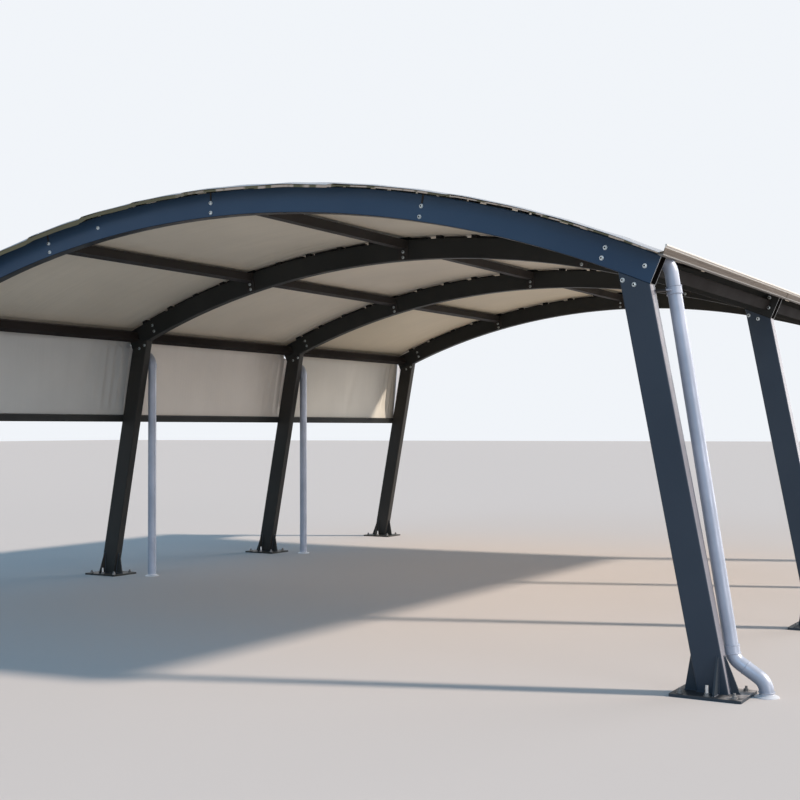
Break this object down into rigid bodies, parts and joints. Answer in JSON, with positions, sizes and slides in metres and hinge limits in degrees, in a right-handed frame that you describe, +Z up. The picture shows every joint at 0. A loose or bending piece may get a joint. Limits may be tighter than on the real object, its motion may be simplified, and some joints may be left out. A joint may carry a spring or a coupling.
{
  "type": "arched open-frame carport with fabric roof",
  "caption": "Carport of dark arched steel frames on leaning posts, with a pale fabric roof, a low side curtain, eave gutters and metal downpipes.",
  "frame": {"origin": "middle of the footprint at ground level, under the base plates", "axes": "+X across the span towards the open side, +Y from the front frame to the back frame, +Z up"},
  "size_m": [6.998, 7.59, 2.921],
  "materials": {
    "frame_paint": "satin",
    "purlin_paint": "satin",
    "clip_plastic": "matte",
    "roof_membrane": "matte",
    "curtain_fabric": "matte",
    "gutter_metal": "satin",
    "pipe_metal": "satin"
  },
  "bodies": {
    "root": {"arch_beam_1": "frame_paint", "arch_beam_2": "frame_paint", "arch_beam_3": "frame_paint", "arch_beam_4": "frame_paint", "post_left_1": "frame_paint", "post_right_1": "frame_paint", "post_left_2": "frame_paint", "post_right_2": "frame_paint", "post_left_3": "frame_paint", "post_right_3": "frame_paint", "post_left_4": "frame_paint", "post_right_4": "frame_paint", "base_plate_left_1": "frame_paint", "base_plate_right_1": "frame_paint", "base_plate_left_2": "frame_paint", "base_plate_right_2": "frame_paint", "base_plate_left_3": "frame_paint", "base_plate_right_3": "frame_paint", "base_plate_left_4": "frame_paint", "base_plate_right_4": "frame_paint", "purlin_left": "purlin_paint", "purlin_ridge": "purlin_paint", "purlin_right": "purlin_paint", "eave_purlin_left": "purlin_paint", "eave_purlin_right": "purlin_paint", "roof_clips_1": "clip_plastic", "roof_clips_2": "clip_plastic", "roof_clips_3": "clip_plastic", "roof_clips_4": "clip_plastic", "roof_fabric_1": "roof_membrane", "roof_fabric_2": "roof_membrane", "roof_fabric_3": "roof_membrane", "gutter_left": "gutter_metal", "gutter_right": "gutter_metal", "downpipe_right_1": "pipe_metal", "downpipe_right_4": "pipe_metal", "downpipe_left_2": "pipe_metal", "downpipe_left_3": "pipe_metal", "curtain_rail": "frame_paint", "side_curtain_1": "curtain_fabric", "side_curtain_2": "curtain_fabric", "side_curtain_3": "curtain_fabric"}
  },
  "joints": []
}
